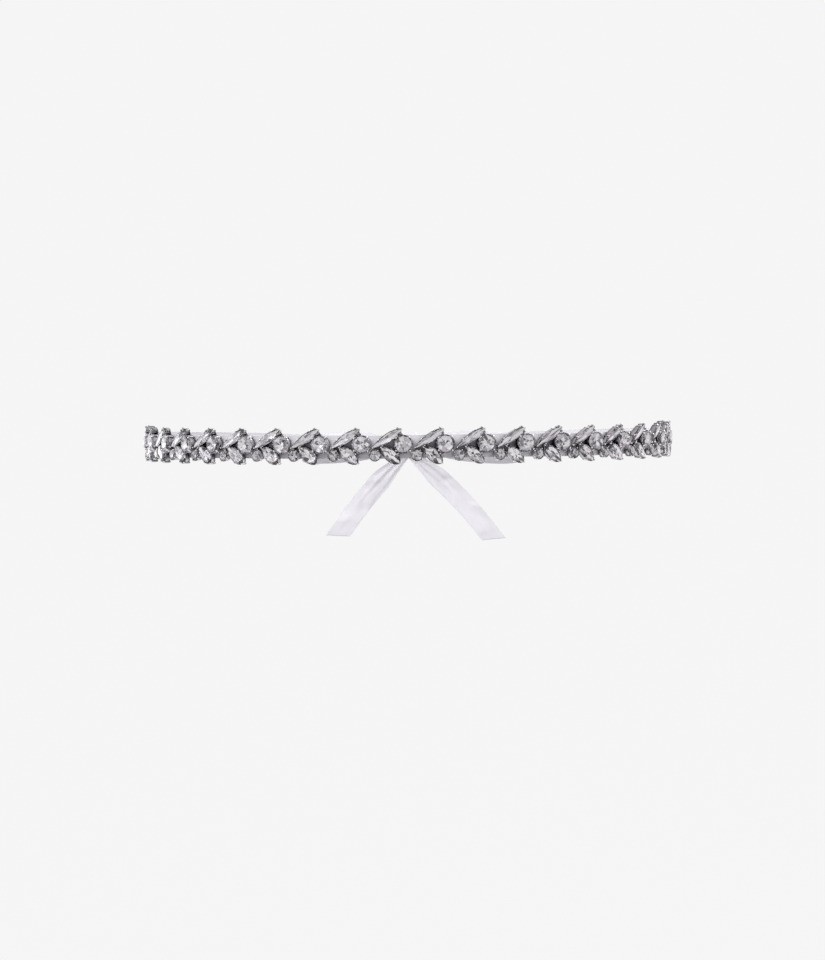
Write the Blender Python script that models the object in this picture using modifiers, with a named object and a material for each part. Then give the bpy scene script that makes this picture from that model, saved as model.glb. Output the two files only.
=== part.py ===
"""Bridal sash: a narrow satin ribbon worn round the waist, with a trim of set stones sewn along its front
and the two ends tied in a bow at the back. Metres, +Z up. The front of the wearer faces -Y, and the origin is
the centre of the waist, at the height of the ribbon's middle."""

from math import cos, pi, radians, sin

import bmesh
import bpy
import numpy as np
from mathutils import Matrix, Vector

# The waist that the sash is tied round: the ribbon's inner face is an ellipse seen from above. Behind the
# trim's ends the ribbon dips a little, because the bow pulls it down.
WAIST_HALF_WIDTH = 0.1145
WAIST_HALF_DEPTH = 0.1025
BACK_DIP = 0.004

# Satin ribbon
RIBBON_WIDTH = 0.010
RIBBON_WALL = 0.001
SEAM_GAP = 0.0003

# Trim: motifs in a row, counted from the middle of the front
MOTIF_COUNT = 22
MOTIF_PITCH = 0.0176
TRIM_SHIFT = 0.0017
TRIM_RISE = 0.0012
PLATE_THICKNESS = 0.0007

# Stones of one motif in their cups. Places and turns are on the motif's plate, from the centre of its large
# round stone, with along to the wearer's left and up towards the head. length and width are the stone's.
STONES = (
    # name, along, up, turn in degrees, length, width, height, sides
    ("upper_leaf", -0.0067, 0.00255, 32.3, 0.0151, 0.0041, 0.0034, 12),
    ("lower_leaf", -0.0053, -0.00485, -41.0, 0.0104, 0.0050, 0.0037, 12),
    ("large_round", 0.0, 0.0, 0.0, 0.0080, 0.0080, 0.0044, 12),
    ("small_round", -0.0121, -0.00480, 0.0, 0.0051, 0.0051, 0.0034, 10),
)
CUP_SHARE = 0.70
TABLE_SHARE = 0.55
MOTIF_MIDDLE = -0.0053

# Fork-shaped plate that joins the four cups: its corners, from the same centre
PLATE_OUTLINE = (
    # along, up
    (-0.0127, -0.0012),
    (-0.0128, -0.0048),
    (-0.0110, -0.0056),
    (-0.0088, -0.0034),
    (-0.0042, -0.0072),
    (-0.0016, -0.0046),
    (0.0012, -0.0028),
    (0.0024, 0.0),
    (0.0010, 0.0026),
    (-0.0014, 0.0056),
    (-0.0030, 0.0054),
)

# Knot at the centre of the back
KNOT_WIDTH = 0.0092
KNOT_HEIGHT = 0.0124
KNOT_DEPTH = 0.0072
KNOT_SIDES = 18
KNOT_SQUARENESS = 2.6
KNOT_SECTIONS = (
    # share of the half width, share of the full height and depth
    (-1.0, 0.78),
    (-0.86, 0.90),
    (-0.40, 0.98),
    (0.0, 1.0),
    (0.40, 0.98),
    (0.86, 0.90),
    (1.0, 0.78),
)

# The bow's two loops, and how far the knot's grip on the ribbon reaches
LOOPS = (
    # name, side along X, length, opening, bulge away from the waist, droop, lean of the opened ribbon
    ("loop_left", 1, 0.050, 0.0122, 0.0085, 0.0034, 31.0),
    ("loop_right", -1, 0.047, 0.0118, 0.0075, 0.0026, 27.0),
)
LEAN_REACHED_AT = 0.45
LOOP_PINCH = 0.0068
TAIL_PINCH = 0.0052
PINCH_LENGTH = 0.016

# The two free ends of the ribbon
TAILS = (
    # name, side along X, length, lean where it leaves the knot, steepest wave, wave's length, cut's slant
    ("tail_left", 1, 0.055, 52.0, 9.0, 0.050, 0.006),
    ("tail_right", -1, 0.049, 47.0, 10.0, 0.044, -0.006),
)
LEAN_FADES_OVER = 0.150
SLANT_FADES_OVER = 0.014

# Sections along each piece of ribbon
STRETCH_STEP = 0.0042
LOOP_SECTIONS = 56
TAIL_STEP = 0.0026


def new_collection(name):
    collection = bpy.data.collections.new(name)
    bpy.context.scene.collection.children.link(collection)
    return collection


def new_material(name, colour, roughness, metallic):
    material = bpy.data.materials.new(name)
    material.use_nodes = True
    shader = material.node_tree.nodes["Principled BSDF"]
    shader.inputs["Base Color"].default_value = (*colour, 1.0)
    shader.inputs["Roughness"].default_value = roughness
    shader.inputs["Metallic"].default_value = metallic
    return material


def new_object(name, mesh, material, collection):
    thing = bpy.data.objects.new(name, mesh)
    if not mesh.materials:
        mesh.materials.append(material)
    collection.objects.link(thing)
    return thing


# ---- The waist line ----


def waist_line(steps=7200):
    """Points and outward directions of the ribbon's outer face, from the centre of the back round the
    wearer's right side (-X), the front and the left side, with the distance along it from the front."""
    turn = np.linspace(-pi, pi, steps + 1)
    inner = np.stack([WAIST_HALF_WIDTH * np.sin(turn), -WAIST_HALF_DEPTH * np.cos(turn)], axis=1)
    outward = np.stack([WAIST_HALF_DEPTH * np.sin(turn), -WAIST_HALF_WIDTH * np.cos(turn)], axis=1)
    outward /= np.linalg.norm(outward, axis=1)[:, None]
    points = inner + RIBBON_WALL * outward
    steps_along = np.linalg.norm(np.diff(points, axis=0), axis=1)
    along = np.concatenate([[0.0], np.cumsum(steps_along)])
    return along - along[steps // 2], points, outward


WAIST_ALONG, WAIST_POINTS, WAIST_OUTWARD = waist_line()
HALF_ROUND = float(WAIST_ALONG[-1])
TRIM_HALF = MOTIF_COUNT * MOTIF_PITCH / 2


def eased(share):
    """From 0 to 1 as share does, level at both ends, and held there outside them."""
    share = np.clip(share, 0.0, 1.0)
    return share * share * (3 - 2 * share)


def waist_at(distance):
    """The point on the ribbon's outer face and its outward direction, at a distance along it."""
    place = [float(np.interp(distance, WAIST_ALONG, WAIST_POINTS[:, i])) for i in (0, 1)]
    way = [float(np.interp(distance, WAIST_ALONG, WAIST_OUTWARD[:, i])) for i in (0, 1)]
    dip = BACK_DIP * float(eased((abs(distance) - TRIM_HALF) / (HALF_ROUND - TRIM_HALF)))
    return Vector((*place, -dip)), Vector((*way, 0.0)).normalized()


def lofted(name, rings):
    """A closed mesh through rings of points, with a flat face over its first and its last ring."""
    shape = bmesh.new()
    rows = [[shape.verts.new(point) for point in ring] for ring in rings]
    count = len(rows[0])
    for one, following in zip(rows, rows[1:], strict=False):
        for i in range(count):
            j = (i + 1) % count
            shape.faces.new((one[i], one[j], following[j], following[i]))
    shape.faces.new(list(reversed(rows[0])))
    shape.faces.new(rows[-1])
    bmesh.ops.recalc_face_normals(shape, faces=shape.faces)
    mesh = bpy.data.meshes.new(name)
    shape.to_mesh(mesh)
    shape.free()
    return mesh


# ---- Ribbon pieces ----


def ribbon(name, centres, across, widths, material, collection, slant=0.0):
    """A strip of ribbon along centres, with its width along the unit vectors in across. slant is how much
    further its last section reaches on one edge than on the other, as scissors held askew cut it."""
    count = len(centres)
    to_end = np.linalg.norm(centres - centres[-1], axis=1)
    onward = (centres[-1] - centres[-2]) / to_end[-2]
    reach = slant / 2 * np.clip(1 - to_end / SLANT_FADES_OVER, 0.0, 1.0)[:, None] * onward
    edges = [centres + side * (across * widths[:, None] / 2 + reach) for side in (-1, 1)]
    mesh = bpy.data.meshes.new(name)
    shape = bmesh.new()
    rows = [[shape.verts.new(point) for point in edge] for edge in edges]
    for i in range(count - 1):
        shape.faces.new((rows[0][i], rows[0][i + 1], rows[1][i + 1], rows[1][i]))
    shape.to_mesh(mesh)
    shape.free()
    strip = new_object(name, mesh, material, collection)
    wall = strip.modifiers.new("Wall", "SOLIDIFY")
    wall.thickness = RIBBON_WALL
    wall.offset = 0.0
    wall.use_even_offset = True
    return strip


def waist_stretch(name, start, end, material, collection):
    """The ribbon on the waist line from one distance to another."""
    count = 1 + round((end - start) / STRETCH_STEP)
    centres = []
    for distance in np.linspace(start, end, count):
        point, outward = waist_at(distance)
        centres.append(point - outward * RIBBON_WALL / 2)
    up = np.tile((0.0, 0.0, 1.0), (count, 1))
    return ribbon(name, np.array(centres), up, np.full(count, RIBBON_WIDTH), material, collection)


def pinched(distances, pinch):
    """The ribbon's width at each distance from the knot, which gathers it."""
    return pinch + (RIBBON_WIDTH - pinch) * eased(distances / PINCH_LENGTH)


def bow_loop(row, knot_middle, material, collection):
    """A loop of the bow: a teardrop seen from above, out along X and back to the knot, drooping as it goes
    out. Its two layers leave the knot a little apart, and where they open the ribbon leans, so that the
    inside of the loop shows above its outer layer."""
    name, side, length, opening, bulge, droop, lean = row
    turn = np.linspace(0.0, 2 * pi, LOOP_SECTIONS + 1)
    share = (1 - np.cos(turn)) / 2
    teardrop = np.sin(turn) * np.sin(turn / 2)
    apart = 1.5 * RIBBON_WALL * np.cos(turn / 2)
    leaning = radians(lean) * eased(share / LEAN_REACHED_AT)
    opened = opening / 2 * teardrop / teardrop.max() + apart
    centres = np.stack(
        [
            side * (KNOT_WIDTH / 2 + SEAM_GAP + length * share),
            knot_middle[1] + opened * np.cos(leaning) + bulge * share,
            knot_middle[2] - opened * np.sin(leaning) - droop * share**2,
        ],
        axis=1,
    )
    up = np.stack([np.zeros(len(turn)), np.sin(leaning), np.cos(leaning)], axis=1)
    return ribbon(name, centres, up, pinched(length * share, LOOP_PINCH), material, collection)


def bow_tail(row, knot_middle, material, collection):
    """A free end: it leaves the knot's underside leaning out, and turns a little more downward in a soft
    wave, as short stiff satin does."""
    name, side, length, lean, wave, wave_length, slant = row
    count = 1 + round(length / TAIL_STEP)
    along = np.linspace(0.0, length, count)
    step = along[1]
    lean_out = radians(lean) * np.exp(-along / LEAN_FADES_OVER)
    sway = radians(wave) * np.sin(2 * pi * along / wave_length) * np.clip(along / PINCH_LENGTH, 0.0, 1.0)
    ways = np.stack([side * np.sin(lean_out), np.sin(sway), -np.cos(lean_out) * np.cos(sway)], axis=1)
    under_knot = (side * (TAIL_PINCH / 2 + 2 * SEAM_GAP), 0.0, -KNOT_HEIGHT / 2 - SEAM_GAP)
    start = np.array(knot_middle) + under_knot
    middles = (ways[1:] + ways[:-1]) / 2
    centres = start + np.concatenate([np.zeros((1, 3)), np.cumsum(middles * step, axis=0)])
    across = np.stack([np.cos(lean_out), np.zeros(count), side * np.sin(lean_out)], axis=1)
    across[0] = (1.0, 0.0, 0.0)
    return ribbon(name, centres, across, pinched(along, TAIL_PINCH), material, collection, slant)


def knot(knot_middle, material, collection):
    """The ribbon wound once round the middle of the bow: a rounded block, full in the middle of its width."""
    turn = 2 * pi * np.arange(KNOT_SIDES) / KNOT_SIDES
    depth = np.sign(np.cos(turn)) * np.abs(np.cos(turn)) ** (2 / KNOT_SQUARENESS) * KNOT_DEPTH / 2
    height = np.sign(np.sin(turn)) * np.abs(np.sin(turn)) ** (2 / KNOT_SQUARENESS) * KNOT_HEIGHT / 2
    rings = []
    for place, share in KNOT_SECTIONS:
        across = np.full(KNOT_SIDES, place * KNOT_WIDTH / 2)
        rings.append(np.stack([across, share * depth, share * height], axis=1) + np.array(knot_middle))
    return new_object("knot", lofted("knot", rings), material, collection)


# ---- Trim ----


def stone_outline(length, width, sides):
    """Corners round a stone. A round one is a circle; a leaf-shaped one is two arcs that meet at points."""
    if length == width:
        turns = [2 * pi * i / sides for i in range(sides)]
        return [(width / 2 * cos(turn), width / 2 * sin(turn)) for turn in turns]
    half = sides // 2
    radius = (length**2 + width**2) / (4 * width)
    reach = np.arcsin(length / 2 / radius)
    corners = []
    for side in (1, -1):
        for i in range(half):
            turn = side * reach * (1 - 2 * i / half)
            corners.append((radius * sin(turn), side * (radius * cos(turn) - radius + width / 2)))
    return corners


def stone_in_cup(row):
    """One stone in its cup: an upright wall to the stone's edge, then its crown up to a flat table."""
    name, along, up, turn, length, width, height, sides = row
    outline = stone_outline(length, width, sides)
    levels = (
        # height above the plate's back, share of the outline
        (PLATE_THICKNESS / 2, 1.0),
        (CUP_SHARE * height, 1.0),
        (height, TABLE_SHARE),
    )
    rings = [[(share * x, share * y, level) for x, y in outline] for level, share in levels]
    mesh = lofted(name, rings)
    mesh.transform(Matrix.Translation((along, up, 0.0)) @ Matrix.Rotation(radians(turn), 4, "Z"))
    return mesh


def motif_mesh(material, collection, cutters):
    """The fork-shaped plate with its four stones joined on, as one body."""
    faces = [[(along, up, level) for along, up in PLATE_OUTLINE] for level in (0.0, PLATE_THICKNESS)]
    plate = new_object("plate_blank", lofted("plate", faces), material, collection)
    blanks = [plate]
    for row in STONES:
        stone = new_object(row[0], stone_in_cup(row), material, cutters)
        stone.hide_render = True
        stone.display_type = "WIRE"
        blanks.append(stone)
        joined = plate.modifiers.new(row[0], "BOOLEAN")
        joined.operation = "UNION"
        joined.object = stone
    scene_state = bpy.context.evaluated_depsgraph_get()
    motif = bpy.data.meshes.new_from_object(plate.evaluated_get(scene_state))
    motif.name = "motif"
    motif.transform(Matrix.Translation((-MOTIF_MIDDLE, 0.0, 0.0)))
    for blank in blanks:
        bpy.data.objects.remove(blank)
    return motif


def seat_motif(name, distance, mesh, material, collection):
    """A motif on the ribbon's outer face, its plate square to the ribbon at the plate's own middle."""
    point, outward = waist_at(distance)
    up = Vector((0.0, 0.0, 1.0))
    along = up.cross(outward)
    turned = Matrix((along, up, outward)).transposed().to_4x4()
    motif = new_object(name, mesh, material, collection)
    seat = point + outward * SEAM_GAP + up * TRIM_RISE
    motif.matrix_world = Matrix.Translation(seat) @ turned
    return motif


def main():
    for thing in list(bpy.data.objects):
        bpy.data.objects.remove(thing)
    sash = new_collection("bridal_sash")
    cutters = new_collection("cutters")
    satin = new_material("satin_ribbon", (0.86, 0.85, 0.87), 0.38, 0.0)
    setting = new_material("stones_in_silver_cups", (0.72, 0.73, 0.76), 0.18, 0.7)

    mesh = motif_mesh(setting, sash, cutters)
    places = [(i - (MOTIF_COUNT - 1) / 2) * MOTIF_PITCH + TRIM_SHIFT for i in range(MOTIF_COUNT)]
    for i, place in enumerate(places):
        seat_motif(f"motif_{i + 1:02d}", place, mesh, setting, sash)

    trim_start = places[0] - MOTIF_PITCH / 2
    trim_end = places[-1] + MOTIF_PITCH / 2
    waist_stretch("ribbon_front", trim_start, trim_end, satin, sash)
    waist_stretch("ribbon_right", -HALF_ROUND + SEAM_GAP / 2, trim_start - SEAM_GAP, satin, sash)
    waist_stretch("ribbon_left", trim_end + SEAM_GAP, HALF_ROUND - SEAM_GAP / 2, satin, sash)

    centre_back, backward = waist_at(HALF_ROUND)
    knot_middle = centre_back + backward * (SEAM_GAP + KNOT_DEPTH / 2)
    knot(knot_middle, satin, sash)
    for row in LOOPS:
        bow_loop(row, knot_middle, satin, sash)
    for row in TAILS:
        bow_tail(row, knot_middle, satin, sash)


main()
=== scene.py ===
import bpy
import numpy as np
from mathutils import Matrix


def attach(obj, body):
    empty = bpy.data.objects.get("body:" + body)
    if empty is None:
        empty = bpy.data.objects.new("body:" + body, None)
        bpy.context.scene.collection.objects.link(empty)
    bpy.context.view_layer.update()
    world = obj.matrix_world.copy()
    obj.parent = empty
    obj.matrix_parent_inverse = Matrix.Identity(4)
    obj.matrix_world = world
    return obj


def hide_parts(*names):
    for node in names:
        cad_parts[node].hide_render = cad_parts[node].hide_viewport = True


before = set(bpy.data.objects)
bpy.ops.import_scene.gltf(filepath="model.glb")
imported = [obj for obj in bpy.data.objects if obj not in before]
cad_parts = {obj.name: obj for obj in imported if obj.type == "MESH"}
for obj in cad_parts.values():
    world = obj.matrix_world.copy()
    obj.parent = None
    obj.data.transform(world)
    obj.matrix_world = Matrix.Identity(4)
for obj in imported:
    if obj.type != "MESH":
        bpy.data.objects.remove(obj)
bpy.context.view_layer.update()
print("frame loaded,", len(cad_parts), "solids")

pi = np.pi

# Camera, square to the wearer's front and looking a little down
cameraView = {
    "place": (0.0023, -1.6, 0.034),  # metres
    "downDegrees": 1.843,
    "rollDegrees": 0.55,
    "lens": 131.8,  # millimetres
    "sensorWidth": 36.0,  # over the picture's long side
    "clipStart": 0.05,
}


def newObject(name, data):
    thing = bpy.data.objects.new(name, data)
    bpy.context.scene.collection.objects.link(thing)
    return thing


def addCamera():
    cameraData = bpy.data.cameras.new("camera")
    cameraData.lens = cameraView["lens"]
    cameraData.sensor_width = cameraView["sensorWidth"]
    cameraData.clip_start = cameraView["clipStart"]
    camera = newObject("camera", cameraData)
    camera.location = cameraView["place"]
    tilt, roll = np.radians(90 - cameraView["downDegrees"]), np.radians(cameraView["rollDegrees"])
    camera.rotation_euler = (tilt, roll, 0.0)
    bpy.context.scene.camera = camera


addCamera()

# The waist that the sash is tied round, as the solids have it, in metres
waist = {
    "halfWidth": 0.1145,  # of the ribbon's inner face
    "halfDepth": 0.1025,
    "backDip": 0.004,
    "wall": 0.001,  # of the ribbon's solid
    "seamGap": 0.0003,
    "steps": 7200,  # of the line round it
}
trim = {
    "count": 22,
    "pitch": 0.0176,
    "shift": 0.0017,  # of the whole row, along the ribbon
    "rise": 0.0012,  # above the ribbon's middle
    "plateMiddle": -0.0053,  # from the large stone's centre
}
trimHalf = trim["count"] * trim["pitch"] / 2
motifNumbers = np.arange(trim["count"])
motifPlaces = (motifNumbers - (trim["count"] - 1) / 2) * trim["pitch"] + trim["shift"]


def eased(share):
    # 3s^2 - 2s^3 of a share held between 0 and 1
    share = np.clip(share, 0.0, 1.0)
    return share * share * (3 - 2 * share)


upward = np.array([0.0, 0.0, 1.0])


def unit(vectors):
    return vectors / np.linalg.norm(vectors, axis=-1, keepdims=True)


def roundTurns(count):
    return np.linspace(0, 2 * pi, count, endpoint=False)


def lengthsAlong(points):
    # how far each point is from the first, along them
    return np.concatenate([[0.0], np.cumsum(np.linalg.norm(np.diff(points, axis=0), axis=1))])


def waistLine():
    # an ellipse moved outward by the wall; distances along it count from the front
    steps = waist["steps"]
    turn = np.linspace(-pi, pi, steps + 1)
    inner = np.stack([waist["halfWidth"] * np.sin(turn), -waist["halfDepth"] * np.cos(turn)], 1)
    normal = np.stack([waist["halfDepth"] * np.sin(turn), -waist["halfWidth"] * np.cos(turn)], 1)
    outward = unit(normal)
    points = inner + waist["wall"] * outward
    along = lengthsAlong(points)
    return along - along[steps // 2], points, outward


lineAlong, linePoints, lineOutward = waistLine()
halfRound = float(lineAlong[-1])


def waistAt(distance):
    # places on the ribbon's outer face and the ways outward there; the back dips by an eased share
    flat = np.stack([np.interp(distance, lineAlong, linePoints[:, i]) for i in (0, 1)], -1)
    way = np.stack([np.interp(distance, lineAlong, lineOutward[:, i]) for i in (0, 1)], -1)
    dip = waist["backDip"] * eased((np.abs(distance) - trimHalf) / (halfRound - trimHalf))
    points = np.concatenate([flat, -dip[..., None]], -1)
    return points, unit(np.concatenate([way, np.zeros_like(dip)[..., None]], -1))


# Shader helpers


def newMaterial(name, **values):
    material = bpy.data.materials.new(name)
    material.use_nodes = True
    tree = material.node_tree
    shader = tree.nodes["Principled BSDF"]
    for socket, value in values.items():
        shader.inputs[socket].default_value = value
    return material, tree, shader


def feed(node, feeds):
    # a feed is another node's socket or a value, for the input of its name, or i3 for input 3
    for name, value in feeds.items():
        socket = node.inputs[int(name[1:]) if name[1:].isdigit() else name]
        if isinstance(value, bpy.types.NodeSocket):
            node.id_data.links.new(value, socket)
        else:
            socket.default_value = value


def addNode(tree, kind, settings=None, **feeds):
    node = tree.nodes.new(kind)
    for name, value in (settings or {}).items():
        setattr(node, name, value)
    feed(node, feeds)
    return node


def maths(operation, *terms):
    feeds = {f"i{i}": term for i, term in enumerate(terms)}
    return addNode(terms[0].id_data, "ShaderNodeMath", {"operation": operation}, **feeds).outputs[0]


def ranged(value, low, high, toLow=0.0, toHigh=1.0):
    feeds = {"Value": value, "From Min": low, "From Max": high, "To Min": toLow, "To Max": toHigh}
    return addNode(value.id_data, "ShaderNodeMapRange", {"clamp": True}, **feeds).outputs[0]


def noise(place, scale, detail, roughness=0.5):
    feeds = {"Vector": place, "Scale": scale, "Detail": detail, "Roughness": roughness}
    return addNode(place.id_data, "ShaderNodeTexNoise", **feeds).outputs[0]


def blendColours(share, one, other):
    feeds = {"i0": share, "i6": one, "i7": other}
    return addNode(share.id_data, "ShaderNodeMix", {"data_type": "RGBA"}, **feeds).outputs[2]


def finished(shader, colour, rough, height, bump):
    feeds = {"Strength": bump[0], "Distance": bump[1], "Height": height}
    normal = addNode(shader.id_data, "ShaderNodeBump", **feeds).outputs["Normal"]
    feed(shader, {"Base Color": colour, "Roughness": rough, "Normal": normal})


# Satin ribbon: warp threads float along it, and a firmer selvage runs down each edge
satin = {
    "colour": (0.80, 0.79, 0.81, 1.0),
    "shade": (0.69, 0.68, 0.705, 1.0),
    "threads": (620.0, 92.0),  # floats to a metre, and threads over the ribbon's width
    "clouds": (90.0, 3.0),  # the same for the soft patches of tone
    "toneRange": (0.30, 0.68),  # of both, from the shade to the colour
    "selvageFrom": 0.91,  # share of the half width
    "selvageBlend": 0.015,
    "selvageRibsPerMetre": 2400.0,
    "ribShade": (0.55, 0.15),  # painted shade in the selvage's grooves and less on its ribs
    "ribHeight": 0.9,  # against the threads'
    "roughness": (0.27, 0.40),  # of the lowest and the highest threads
    "selvageRoughness": 0.16,  # on top of the cloth's
    "bump": (0.35, 0.00004),  # strength and distance
}


def satinMaterial():
    values = {"Sheen Weight": 0.22, "Sheen Roughness": 0.35, "Anisotropic": 0.55, "IOR": 1.48}
    material, tree, shader = newMaterial("satin", **values)
    uv = addNode(tree, "ShaderNodeUVMap", {"uv_map": "weave"}).outputs[0]
    along, across = addNode(tree, "ShaderNodeSeparateXYZ", Vector=uv).outputs[:2]

    def stretched(perMetre, overWidth):
        x, y = maths("MULTIPLY", along, perMetre), maths("MULTIPLY", across, overWidth)
        return addNode(tree, "ShaderNodeCombineXYZ", X=x, Y=y).outputs[0]

    threads = noise(stretched(*satin["threads"]), 1.0, 2.0, 0.55)
    clouds = noise(stretched(*satin["clouds"]), 1.0, 3.0)
    edge = maths("ABSOLUTE", maths("SUBTRACT", maths("MULTIPLY", across, 2.0), 1.0))
    selvageFrom = satin["selvageFrom"]
    selvage = ranged(edge, selvageFrom - satin["selvageBlend"], selvageFrom)
    ribs = maths("SINE", maths("MULTIPLY", along, 2 * pi * satin["selvageRibsPerMetre"]))
    ribs = maths("MULTIPLY_ADD", ribs, 0.5, 0.5)
    tone = maths("MULTIPLY_ADD", clouds, 0.5, maths("MULTIPLY", threads, 0.5))
    tone = ranged(tone, *satin["toneRange"])
    colour = blendColours(tone, satin["shade"], satin["colour"])
    # painted shade: the selvage's grooves, low in the bump, are darkened
    edgeShare = maths("MULTIPLY", selvage, ranged(ribs, 0.0, 1.0, *satin["ribShade"]))
    colour = blendColours(edgeShare, colour, satin["shade"])
    rough = ranged(threads, 0.3, 0.7, *satin["roughness"])
    rough = maths("MULTIPLY_ADD", selvage, satin["selvageRoughness"], rough)
    tangent = addNode(tree, "ShaderNodeTangent", {"direction_type": "UV_MAP", "uv_map": "weave"})
    feed(shader, {"Tangent": tangent.outputs[0]})
    height = maths("MULTIPLY", ribs, selvage)
    height = maths("MULTIPLY_ADD", height, satin["ribHeight"], threads)
    finished(shader, colour, rough, height, satin["bump"])
    return material


# Silver setting: bright silver, with painted shade that turns it nearly black in its recesses and on
# its plate, made uneven by random patches
silver = {
    "bright": (0.82, 0.80, 0.825, 1.0),
    "dark": (0.15, 0.142, 0.156, 1.0),
    "grainPerMetre": 2600.0,
    "grainsToAPatch": 7,
    "patchiness": 0.5,  # random patches in the painted shade
    "shadeRange": (0.15, 0.75),  # of the painted shade, from the bright to the dark
    "roughness": (0.13, 0.24),
    "shadeRoughness": 0.18,  # on top of that
    "bump": (0.25, 0.00003),
}


def silverMaterial():
    material, tree, shader = newMaterial("silver", **{"Metallic": 1.0})
    place = addNode(tree, "ShaderNodeTexCoord").outputs["Object"]
    grain = noise(place, silver["grainPerMetre"], 3.0)
    patches = noise(place, silver["grainPerMetre"] / silver["grainsToAPatch"], 2.0)
    # painted shade: a number on each point, high in the recesses and on the plate, darkens the silver
    paintedShade = addNode(tree, "ShaderNodeAttribute", {"attribute_name": "paintedShade"}).outputs["Fac"]
    patches = maths("SUBTRACT", patches, 0.5)
    uneven = maths("MULTIPLY_ADD", patches, silver["patchiness"], paintedShade)
    share = ranged(uneven, *silver["shadeRange"])
    colour = blendColours(share, silver["bright"], silver["dark"])
    rough = ranged(grain, 0.3, 0.7, *silver["roughness"])
    rough = maths("MULTIPLY_ADD", share, silver["shadeRoughness"], rough)
    finished(shader, colour, rough, grain, silver["bump"])
    return material


# Stones: clear glass above, foil behind their lower facets, each foil facet painted light, grey or
# nearly black as painted reflection and shade
stoneGlass = {
    "Base Color": (1.0, 1.0, 1.0, 1.0),
    "IOR": 1.47,
    "Roughness": 0.012,
    "Transmission Weight": 1.0,
}
foil = {
    "light": (0.93, 0.905, 0.94, 1.0),
    "dark": (0.09, 0.086, 0.094, 1.0),
    "specksPerMetre": 1900.0,
    "speckShade": 0.86,
}


def foilMaterial():
    material, tree, shader = newMaterial("foil", **{"Metallic": 0.88, "Roughness": 0.06})
    # painted reflection: each foil facet's own tone, light, grey or nearly black, stands in for what
    # the foil would mirror
    tone = addNode(tree, "ShaderNodeAttribute", {"attribute_name": "paintedFoilLight"}).outputs["Fac"]
    place = addNode(tree, "ShaderNodeTexCoord").outputs["Object"]
    specks = noise(place, foil["specksPerMetre"], 1.0)
    tone = maths("MULTIPLY", tone, ranged(specks, 0.35, 0.6, foil["speckShade"], 1.0))
    feed(shader, {"Base Color": blendColours(tone, foil["dark"], foil["light"])})
    return material


thread = {
    "colour": (0.84, 0.83, 0.85, 1.0),
    "shade": (0.66, 0.65, 0.68, 1.0),
    "twist": 1.4,
    "roughness": (0.6, 0.45),  # between the plies and on them
    "bump": (0.5, 0.00005),
}


def threadMaterial():
    material, tree, shader = newMaterial("thread", **{"Sheen Weight": 0.3})
    uv = addNode(tree, "ShaderNodeUVMap", {"uv_map": "twist"}).outputs[0]
    settings = {"wave_type": "BANDS", "bands_direction": "DIAGONAL"}
    feeds = {"Vector": uv, "Scale": thread["twist"], "Distortion": 0.4}
    ply = addNode(tree, "ShaderNodeTexWave", settings, **feeds).outputs["Fac"]
    # painted shade between the plies, where the bump is low
    colour = blendColours(ply, thread["shade"], thread["colour"])
    rough = ranged(ply, 0.0, 1.0, *thread["roughness"])
    finished(shader, colour, rough, ply, thread["bump"])
    return material


satinLook, silverLook = satinMaterial(), silverMaterial()
glassLook = newMaterial("clear_glass", **stoneGlass)[0]
foilLook, threadLook = foilMaterial(), threadMaterial()
print("materials made")

# Mesh helpers


def newPiece(name, points, faces, looks, faceLooks=None, uv=None, uvName="weave", smooth=True):
    # each point's own place on the map goes to its corners
    points = points.reshape(-1, 3)
    mesh = bpy.data.meshes.new(name)
    mesh.from_pydata(points.tolist(), [], [face for group in faces for face in group.tolist()])
    for look in looks:
        mesh.materials.append(look)
    mesh.polygons.foreach_set("use_smooth", np.full(len(mesh.polygons), smooth))
    if faceLooks is not None:
        mesh.polygons.foreach_set("material_index", faceLooks.astype(np.int32))
    if uv is not None:
        corners = np.empty(len(mesh.loops), np.int32)
        mesh.loops.foreach_get("vertex_index", corners)
        mesh.uv_layers.new(name=uvName).data.foreach_set("uv", uv[corners].ravel())
    mesh.update()
    return newObject(name, mesh)


def setValues(piece, domain, name, values):
    # a number for each point or face, which a material reads
    attribute = piece.data.attributes.new(name, "FLOAT", domain)
    attribute.data.foreach_set("value", values.astype(np.float32))


def gridFaces(rows, columns):
    # quads between neighbouring rings of points
    here = np.arange(columns)
    following = (here + 1) % columns
    start = (np.arange(rows - 1) * columns)[:, None]
    quads = [start + here, start + following, start + columns + following, start + columns + here]
    return np.stack(quads, -1).reshape(-1, 4)


def mapped(along, across, shape):
    # along and across for each point of a grid
    return np.stack([np.broadcast_to(along, shape), np.broadcast_to(across, shape)], -1).reshape(-1, 2)


def atHeight(flat, level):
    # flat points raised to one height or to their own
    return np.concatenate([flat, np.broadcast_to(level, len(flat))[:, None]], 1)


# Ribbon

ribbon = {
    "width": 0.010,
    "thickness": 0.00034,
    "beadRadius": 0.00021,  # of the selvage
    "beadSteps": (0.0, 0.10, 0.42, 1.0, 1.62, 1.95, 2.4),  # from the edge inward, in bead radii
    "clothFrom": 0.0008,  # from the edge
    "clothSteps": 12,  # from there to the middle
    "pleats": 2.6,  # across the width, at the knot
    "pleatDepth": 0.00052,
    "pleatPaces": (0.35, 5.0),  # how unevenly they fade, and how often that turns
    "pleatWander": (0.4, 0.011),  # radians, and metres to a radian of its wave
    "pinchLength": 0.016,
}


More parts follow.
